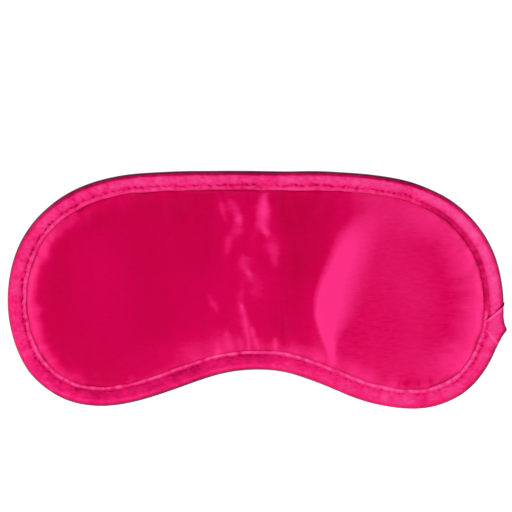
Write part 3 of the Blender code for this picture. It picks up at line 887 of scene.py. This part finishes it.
def tube(path, radius):
    """Vertices and faces of a closed round tube along a short path."""
    sides = THREAD_SIDES
    tangent = np.gradient(path, axis=0)
    tangent /= np.linalg.norm(tangent, axis=1)[:, None]
    side = np.cross(tangent, (0.0, 1.0, 0.0))
    side /= np.maximum(np.linalg.norm(side, axis=1), 1e-9)[:, None]
    up = np.cross(side, tangent)
    verts = []
    for point, a, b in zip(path, side, up):
        for k in range(sides):
            angle = 2 * math.pi * k / sides
            verts.append(point + radius * (math.cos(angle) * a + math.sin(angle) * b))
    faces = []
    for ring in range(0, (len(path) - 1) * sides, sides):
        for k in range(sides):
            n = (k + 1) % sides
            faces.append((ring + k, ring + n, ring + sides + n, ring + sides + k))
    faces.append(tuple(range(sides))[::-1])
    faces.append(tuple((len(path) - 1) * sides + k for k in range(sides)))
    return verts, faces


def joined_tubes(name, paths, radius, body="mask"):
    """One piece of thread made of a tube for each path."""
    verts, faces = [], []
    for path in paths:
        more, cells = tube(path, radius)
        faces += [tuple(len(verts) + v for v in cell) for cell in cells]
        verts += more
    item = piece(name, verts, faces, THREAD, body)
    return item


def stitch_paths(facing, skip=(0, 0)):
    """Each stitch: a short thread that comes up through the tape, lies on it and goes down.

    Stitches whose middles are between the two heights of skip are left out.
    """
    chance = random.Random(SEED + 1)
    groove = seam_groove() if facing < 0 else np.zeros(EDGE.count)
    wander = seam_wander()
    paths = []
    for middle in stitch_centres():
        lean = chance.uniform(-STITCH_LEAN, STITCH_LEAN)
        length = STITCH_LENGTH * chance.uniform(0.55, 1.05)
        path = []
        for u in np.linspace(-1, 1, 7):
            along = (middle + u * length / 2) % EDGE.length
            index = int(along / EDGE.length * EDGE.count) % EDGE.count
            x, z = EDGE.inside(index, STITCH_INSET + wander[index] + lean * u)
            height = STITCH_TOP - STITCH_DROP * abs(u) ** 3 - 0.2 * groove[index]
            path.append((x, TAPE_MIDDLE + facing * height, z))
        if not skip[0] < path[len(path) // 2][2] < skip[1]:
            paths.append(smoothed(path))
    return paths


def smoothed(path):
    """The path with each inner point moved halfway to its neighbours' middle."""
    path = np.array(path)
    path[1:-1] = path[1:-1] / 2 + (path[:-2] + path[2:]) / 4
    return path


def make_stitching():
    """The seam's front face, and its back face above and below the strap's ends."""
    front = joined_tubes("front_stitches", stitch_paths(-1), THREAD_RADIUS)
    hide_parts("front_stitching")
    low, high = (corner.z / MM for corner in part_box("strap_end_left"))
    back = joined_tubes("back_stitches", stitch_paths(1, skip=(low - 0.5, high + 0.5)), THREAD_RADIUS)
    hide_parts("back_stitching_upper", "back_stitching_lower")


def make_tacks():
    """Bar tacks: close zigzags of thread over the CAD tacks' boxes."""
    for name, body in (
        ("bar_tack_left", "mask"),
        ("bar_tack_right", "mask"),
        ("ring_fold_tack", "strap_rear"),
        ("slider_loop_tack", "slider"),
    ):
        low, high = (np.array(corner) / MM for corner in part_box(name))
        middle_x = (low[0] + high[0]) / 2
        step = (high[2] - low[2]) / TACK_TURNS
        path = []
        for k in range(TACK_TURNS + 1):
            z = low[2] + step * k
            x = low[0] + TACK_RADIUS if k % 2 else high[0] - TACK_RADIUS
            path += [(x, low[1] - TACK_LIFT, z), (middle_x, low[1], z + step / 2)]
        item = joined_tubes(name + "_thread", [np.array(path[:-1])], TACK_RADIUS, body)
        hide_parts(name)


# -------- the tape's join

JOIN_TOP_OUTER = -4.8
JOIN_TOP_INNER = -12.2
JOIN_BOTTOM_OUTER = -28.3
JOIN_BOTTOM_INNER = -22.5
# How far the lap stands out past the edge, at heights from its top down.
JOIN_REACH = (
    (-4.8, 0.95), (-5.6, 0.85), (-7, 0.45), (-11, 0.65), (-13.6, 1.5), (-15.7, 3), (-16.6, 2.5),
    (-18.4, 1.6), (-21, 0.95), (-25, 0.45), (-28.3, 0.12),
)
JOIN_ROWS = 52
JOIN_CLOTH = 0.45
JOIN_DEPTH = 6.9  # inset of the lap's inner end


def right_edge(z):
    """The outline's right side at height z: its point and outward normal."""
    right = np.flatnonzero((EDGE.at[:, 0] > 60) & (np.abs(EDGE.at[:, 1]) < 40))
    right = right[np.argsort(EDGE.at[right, 1])]
    heights = EDGE.at[right, 1]
    point = np.array([np.interp(z, heights, EDGE.at[right, k]) for k in (0, 1)])
    normal = np.array([np.interp(z, heights, EDGE.normal[right, k]) for k in (0, 1)])
    return point, normal / np.linalg.norm(normal)


def join_ends(inset):
    """The lap's top and bottom heights at an inset: it is longest at the edge."""
    out = 1 - min(max(inset, 0.0) / JOIN_DEPTH, 1.0)
    top = JOIN_TOP_INNER + (JOIN_TOP_OUTER - JOIN_TOP_INNER) * out
    bottom = JOIN_BOTTOM_INNER + (JOIN_BOTTOM_OUTER - JOIN_BOTTOM_INNER) * out
    return top, bottom


def join_lift(inset, start, end):
    """How far the lap lies over the tape, at distances from its folded top and from its bottom."""
    lift = 0.85 * (1 - hump(start, 0, 0.5)) * smoothstep(end, 0.0, 9.0) - 0.05
    lift += 0.25 * hump(start, 1.9, 0.8) + 0.08 * math.sin(start * 1.3 + inset)
    return lift - (0.3 if inset > 6.4 else 0.0)


def join_tone(inset, height, start, z):
    """Painted shadow along its folded top, with a painted highlight line below that and one slanting across
    it; painted shade on its rim and towards its inner end.
    """
    fold_shadow_and_highlight = 0.40 * hump(start, 1.9, 0.6) - 0.8 * hump(start, 0.6, 0.5)
    slant_highlight = 0.34 * hump(z, 0.68 * inset - 21.9, 0.4) * (inset < 6.0)
    return 0.70 + fold_shadow_and_highlight + slant_highlight - 0.8 * rim_shade(inset, height) - 0.3 * hump(inset, 6.2, 0.8)


def make_join():
    """The tape's end turned under and lapped over its start, drawn out to a small point."""
    profile = [
        (inset, height)
        for inset, height in tape_profile()
        if inset < JOIN_DEPTH + 0.05 and (height > 0 or inset < FOLD_START)
    ]
    heights, reaches = zip(*JOIN_REACH[::-1])
    verts = []
    tones = []
    for row in range(JOIN_ROWS):
        for inset, height in profile:
            top, bottom = join_ends(inset)
            start = (top - bottom) * row / (JOIN_ROWS - 1)
            z = top - start
            point, normal = right_edge(z)
            reach = np.interp(z, heights, reaches)
            spot = point - normal * (inset - reach * max(0.0, 1 - inset / 3.4))
            rise = abs(height) + join_lift(inset, start, z - bottom)
            face = 1.0 if height >= 0 else -1.0
            verts.append((spot[0], TAPE_MIDDLE - face * rise, spot[1]))
            tones.append(join_tone(inset, height, start, z))
    faces = strip_faces(JOIN_ROWS, len(profile), closed=False)
    item = piece("tape_join", verts, faces, TAPE)
    set_attribute(item, "tone", tones)
    add_cloth_thickness(item, JOIN_CLOTH)
    subdivide(item, 1)
    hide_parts("binding_join")


# -------- elastic strap

ELASTIC = elastic_material()
RIB_PITCH = 1.07
RIB_HEIGHT = 0.10
RIB_CUTS = 4
BORDER_WIDTH = 0.4  # the ribbon thins over this much of its long edges
BORDER_PINCH = 0.22
END_TUCK = 0.04  # how far a drawn-out end narrows, so it slips inside the next length
CLOSING = 0.35  # how far an end is drawn out: half the CAD gap and a little more
MERGE = 0.01 * MM  # points closer than this are one
X_AXIS, Y_AXIS, Z_AXIS = 0, 1, 2


def cut_across(bm, axis, places):
    """Cuts a mesh through with planes square to an axis."""
    for at in places:
        place, normal = Vector(), Vector()
        place[axis] = at
        normal[axis] = 1
        parts = bm.verts[:] + bm.edges[:] + bm.faces[:]
        bmesh.ops.bisect_plane(bm, geom=parts, plane_co=place, plane_no=normal)


def end_caps(bm, low, high, axis, close_low, close_high):
    """The faces that close those ends of the ribbon that are drawn out."""
    caps = set()
    for face in bm.faces:
        at = face.calc_center_median()[axis]
        if (close_low and at - low[axis] < MERGE) or (close_high and high[axis] - at < MERGE):
            caps.add(face)
    return caps


def weave(bm, low, high, caps):
    """Raises the ribs, thins the long edges and narrows the ends; returns each vertex's place on a rib."""
    ribs = []
    for vert in bm.verts:
        flat_faces = [f.normal for f in vert.link_faces if abs(f.normal.z) < 0.5 and f not in caps]
        out = sum(flat_faces, Vector()).normalized() if flat_faces else Vector()
        rib = 0.5 + 0.5 * math.cos((vert.co.z - low.z) / MM / RIB_PITCH * 2 * math.pi + math.pi)
        border = min(vert.co.z - low.z, high.z - vert.co.z) / MM
        pinch = BORDER_PINCH * max(0.0, 1 - border / BORDER_WIDTH)
        if any(f in caps for f in vert.link_faces):
            pinch += END_TUCK
        vert.co += out * (RIB_HEIGHT * (rib - 0.5) - pinch) * MM
        ribs.append(rib)
    return ribs


def draw_out(bm, low, high, axis, close_low, close_high):
    """Moves the ribbon's ends out along an axis."""
    for vert in bm.verts:
        if vert.co[axis] - low[axis] < 10 * MERGE:
            vert.co[axis] -= close_low * MM
        elif high[axis] - vert.co[axis] < 10 * MERGE:
            vert.co[axis] += close_high * MM


def elastic(node, axis=None, step=2.0, close_low=0.0, close_high=0.0):
    """The CAD ribbon with woven ribs along it, its two long edges rounded.

    An axis adds cuts across the ribbon every step millimetres, where it has to bend or stretch.
    close_low and close_high draw its ends out along that axis, to meet the next length of strap.
    """
    bm = bmesh.new()
    bm.from_mesh(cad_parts[node].data)
    bmesh.ops.remove_doubles(bm, verts=bm.verts, dist=MERGE)
    low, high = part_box(node)
    cut_across(bm, Z_AXIS, np.arange(low.z, high.z, RIB_PITCH * MM / RIB_CUTS)[1:])
    if axis is not None:
        cut_across(bm, axis, np.arange(low[axis], high[axis], step * MM)[1:])
    bmesh.ops.recalc_face_normals(bm, faces=bm.faces)
    bm.normal_update()
    caps = set() if axis is None else end_caps(bm, low, high, axis, close_low, close_high)
    ribs = weave(bm, low, high, caps)
    if axis is not None:
        draw_out(bm, low, high, axis, close_low, close_high)
    mesh = bpy.data.meshes.new(node + "_woven")
    bm.to_mesh(mesh)
    bm.free()
    item = add_object(node + "_woven", mesh)
    mesh.materials.clear()
    mesh.materials.append(ELASTIC)
    mesh.shade_smooth()
    mesh.set_sharp_from_angle(angle=math.radians(50))
    # The rib place drives the painted shade between the ribs.
    set_attribute(item, "groove", ribs)
    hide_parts(node)
    return item


def make_strap():
    """Six lengths of elastic and the doubled run: they bend at the sewn ends and stretch in the arms."""
    for word in ("left", "right"):
        end = elastic("strap_end_" + word, Y_AXIS, 1.0, close_high=CLOSING)
        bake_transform(end)
        arm = elastic("strap_arm_" + word, Y_AXIS, 2.0, CLOSING, CLOSING)
        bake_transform(arm)
    for name in ("rear_strap_short", "rear_strap_long"):
        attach(elastic(name, Y_AXIS, 40.0, close_low=CLOSING), "strap_rear")
    run = elastic("strap_return", X_AXIS, 1.0, 1.4 * CLOSING, 1.4 * CLOSING)
    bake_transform(run)
    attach(elastic("slider_loop"), "slider")


def finish_adjuster():
    """The ring and the slider keep their CAD shapes and take the nylon."""
    nylon = adjuster_material()
    for name in ("ring", "slider"):
        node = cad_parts[name]
        node.data.materials.clear()
        node.data.materials.append(nylon)
        node.data.shade_smooth()
        node.data.set_sharp_from_angle(angle=math.radians(50))


# -------- studio, in metres

FLOOR_Z = -0.12
ROOM_RADIUS = 3.4
ROOM_CURVE = 0.9
ROOM_CURVE_STEPS = 12
ROOM_HEIGHT = 4.5
ROOM_SIDES = 72
LENS_DISTANCE = 1.3  # from the lens to the tape's middle plane
SENSOR_WIDTH = 36
WIDTH_SHARE = 0.971  # of the picture's width that the mask takes
AIM_LEFT = 0.0004
AIM_UP = 0.0136


def grey(value):
    return (value, value, value, 1.0)


def room_material():
    """White paint that glows a little: the floor by itself, the wall more to the back than the front."""
    nodes = Nodes("studio_room")
    place = nodes.place((0.25, 0.25, 0.25))
    where = nodes.add("ShaderNodeSeparateXYZ")
    nodes.link(place, where.inputs["Vector"])
    reach = nodes.add("ShaderNodeVectorMath", operation="LENGTH")
    nodes.link(place, reach.inputs[0])
    far = nodes.ramp(reach.outputs["Value"], (0.30, grey(0.0)), (0.60, grey(1.0)))
    near = nodes.math("SUBTRACT", 1.0, far)
    along = nodes.math("MULTIPLY", nodes.math("ADD", where.outputs["Y"], 0.85), 0.6)
    wall = nodes.ramp(along, (0.1, grey(0.42)), (0.5, grey(0.55)), (0.8, grey(1.0)))
    floor = nodes.ramp(nodes.math("ADD", where.outputs["Y"], 0.5), (0.43, grey(0.12)), (0.63, grey(1.0)))
    glow = nodes.math("ADD", nodes.math("MULTIPLY", wall, far), nodes.math("MULTIPLY", floor, near))
    nodes.feed(glow, "Emission Color")
    nodes.feed(nodes.math("ADD", nodes.math("MULTIPLY", near, 0.82), 0.08), "Base Color")
    nodes.set(Roughness=0.9, Specular_IOR_Level=0.0, Emission_Strength=1.0)
    return nodes.material


def make_stage():
    """A round, pale, seamless room: a floor that curves up into a wall on every side."""
    path = [(0.0, FLOOR_Z), (0.5, FLOOR_Z), (ROOM_RADIUS - ROOM_CURVE, FLOOR_Z)]
    for step in range(1, ROOM_CURVE_STEPS + 1):
        angle = math.pi / 2 * step / ROOM_CURVE_STEPS
        reach = ROOM_RADIUS - ROOM_CURVE * (1 - math.sin(angle))
        path.append((reach, FLOOR_Z + ROOM_CURVE * (1 - math.cos(angle))))
    path.append((ROOM_RADIUS, ROOM_HEIGHT))
    bm = bmesh.new()
    profile = [bm.verts.new((reach, 0, z)) for reach, z in path]
    edges = [bm.edges.new(pair) for pair in zip(profile, profile[1:])]
    bmesh.ops.spin(
        bm, geom=profile + edges, axis=(0, 0, 1), cent=(0, 0, 0), angle=2 * math.pi, steps=ROOM_SIDES
    )
    bmesh.ops.remove_doubles(bm, verts=bm.verts, dist=0.0005)
    bmesh.ops.recalc_face_normals(bm, faces=bm.faces)
    mesh = bpy.data.meshes.new("studio_room")
    bm.to_mesh(mesh)
    bm.free()
    room = add_object("studio_room", mesh)
    mesh.materials.append(room_material())
    mesh.shade_smooth()


def soft_box(name, place, size, power):
    """A rectangular light that faces the mask and isn't seen itself."""
    data = bpy.data.lights.new(name, "AREA")
    data.shape = "RECTANGLE"
    data.size, data.size_y = size
    data.energy = power
    item = add_object(name, data)
    item.location = place
    item.rotation_euler = (-Vector(place)).to_track_quat("-Z", "Y").to_euler()
    item.visible_camera = False


def make_lights():
    """Two long soft boxes beside the mask, a weak one above it and a pale room."""
    soft_box("left_box", (-0.95, -0.36, 0.15), (0.4, 0.9), 5.2)
    soft_box("right_box", (0.95, -0.36, -0.05), (0.4, 0.9), 5.6)
    soft_box("top_box", (-0.1, -0.45, 0.95), (0.9, 0.4), 2.4)
    world = bpy.data.worlds.new("studio")
    world.use_nodes = True
    background = world.node_tree.nodes["Background"].inputs
    background["Color"].default_value = (1, 1, 1, 1)
    background["Strength"].default_value = 0.10
    bpy.context.scene.world = world
    bpy.context.scene.view_settings.view_transform = "Standard"


def make_camera():
    """Straight from the front, with the mask nearly filling the picture's width."""
    low, high = cad_box
    data = bpy.data.cameras.new("photo_camera")
    data.sensor_width = SENSOR_WIDTH
    data.lens = SENSOR_WIDTH * LENS_DISTANCE * WIDTH_SHARE / (high[0] - low[0])
    camera = add_object("photo_camera", data)
    camera.location = (
        (low[0] + high[0]) / 2 - AIM_LEFT,
        TAPE_MIDDLE * MM - LENS_DISTANCE,
        (low[2] + high[2]) / 2 + AIM_UP,
    )
    camera.rotation_euler = (math.pi / 2, 0, 0)
    bpy.context.scene.camera = camera


make_stage()
make_lights()
make_camera()
make_front_panel()
make_back_panel()
make_binding()
make_join()
make_stitching()
make_tacks()
make_strap()
finish_adjuster()
